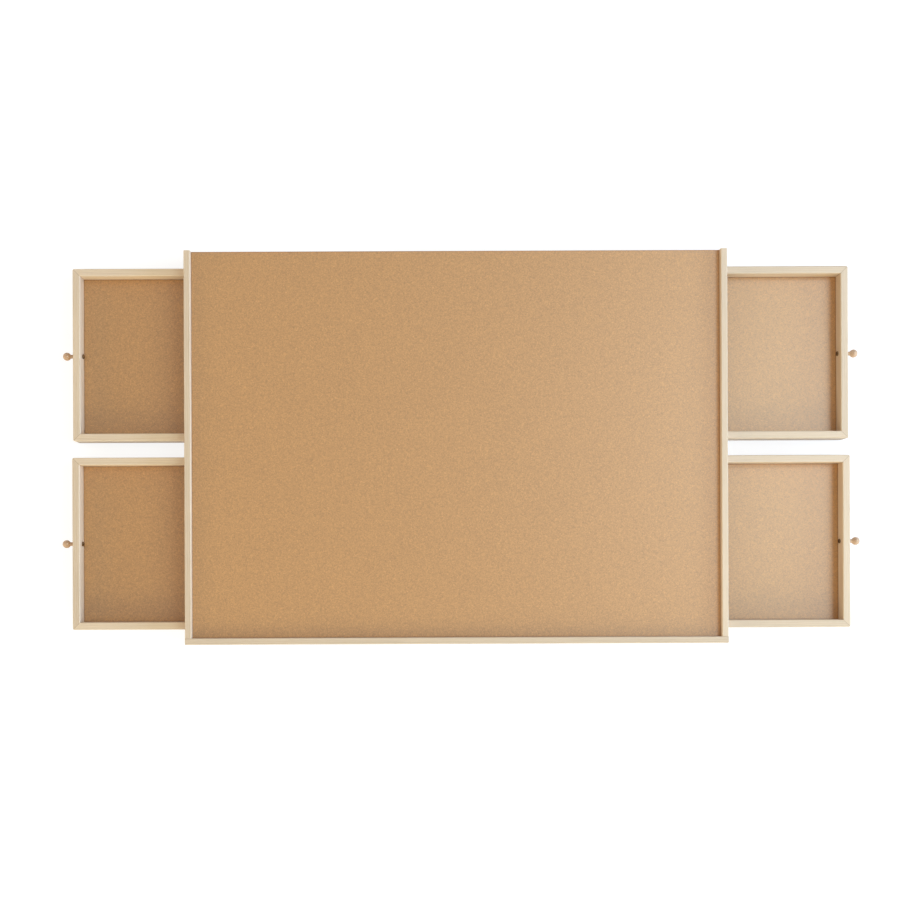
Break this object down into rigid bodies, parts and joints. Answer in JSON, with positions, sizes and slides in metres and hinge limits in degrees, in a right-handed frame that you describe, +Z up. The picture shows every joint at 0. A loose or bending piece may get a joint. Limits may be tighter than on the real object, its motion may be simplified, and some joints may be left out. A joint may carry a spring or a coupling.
{
  "type": "puzzle board",
  "caption": "Low wooden jigsaw puzzle board: hardboard work surface in a rimmed frame, with shallow sorting drawers that slide out of both ends on ledges.",
  "frame": {"origin": "on the table under the middle of the board, in the underside of the centre ledge", "axes": "+X to the right along the drawers' travel, +Y from the front rail to the back, +Z up"},
  "size_m": [1.137, 0.553, 0.051],
  "materials": {
    "pine": "bare sanded pine",
    "drawer_pine": "bare sanded pine",
    "hardboard": "smooth tempered hardboard",
    "drawer_hardboard": "smooth thin hardboard",
    "turned_wood": "turned and sealed hardwood",
    "screw_steel": "blackened steel, rubbed in places"
  },
  "bodies": {
    "carcass": {"work_surface": "hardboard", "front_rail": "pine", "back_rail": "pine", "left_rim": "pine", "right_rim": "pine", "front_guide": "pine", "back_guide": "pine", "centre_divider": "pine", "front_ledge": "pine", "back_ledge": "pine", "centre_ledge": "pine", "front_stop_bar": "pine", "back_stop_bar": "pine", "ledge_screws": "screw_steel"},
    "back_left_drawer": {"back_left_drawer_front": "drawer_pine", "back_left_drawer_back": "drawer_pine", "back_left_drawer_outer_side": "drawer_pine", "back_left_drawer_inner_side": "drawer_pine", "back_left_drawer_bottom": "drawer_hardboard", "back_left_knob": "turned_wood", "back_left_knob_screw": "screw_steel"},
    "front_left_drawer": {"front_left_drawer_front": "drawer_pine", "front_left_drawer_back": "drawer_pine", "front_left_drawer_outer_side": "drawer_pine", "front_left_drawer_inner_side": "drawer_pine", "front_left_drawer_bottom": "drawer_hardboard", "front_left_knob": "turned_wood", "front_left_knob_screw": "screw_steel"},
    "back_right_drawer": {"back_right_drawer_front": "drawer_pine", "back_right_drawer_back": "drawer_pine", "back_right_drawer_outer_side": "drawer_pine", "back_right_drawer_inner_side": "drawer_pine", "back_right_drawer_bottom": "drawer_hardboard", "back_right_knob": "turned_wood", "back_right_knob_screw": "screw_steel"},
    "front_right_drawer": {"front_right_drawer_front": "drawer_pine", "front_right_drawer_back": "drawer_pine", "front_right_drawer_outer_side": "drawer_pine", "front_right_drawer_inner_side": "drawer_pine", "front_right_drawer_bottom": "drawer_hardboard", "front_right_knob": "turned_wood", "front_right_knob_screw": "screw_steel"}
  },
  "joints": [
    {"name": "back_left_slide", "type": "slide", "parent": "carcass", "child": "back_left_drawer", "axis": [-1, 0, 0], "range_m": [-0.161, 0.1505]},
    {"name": "front_left_slide", "type": "slide", "parent": "carcass", "child": "front_left_drawer", "axis": [-1, 0, 0], "range_m": [-0.1625, 0.149]},
    {"name": "back_right_slide", "type": "slide", "parent": "carcass", "child": "back_right_drawer", "axis": [1, 0, 0], "range_m": [-0.1755, 0.136]},
    {"name": "front_right_slide", "type": "slide", "parent": "carcass", "child": "front_right_drawer", "axis": [1, 0, 0], "range_m": [-0.1775, 0.134]}
  ]
}
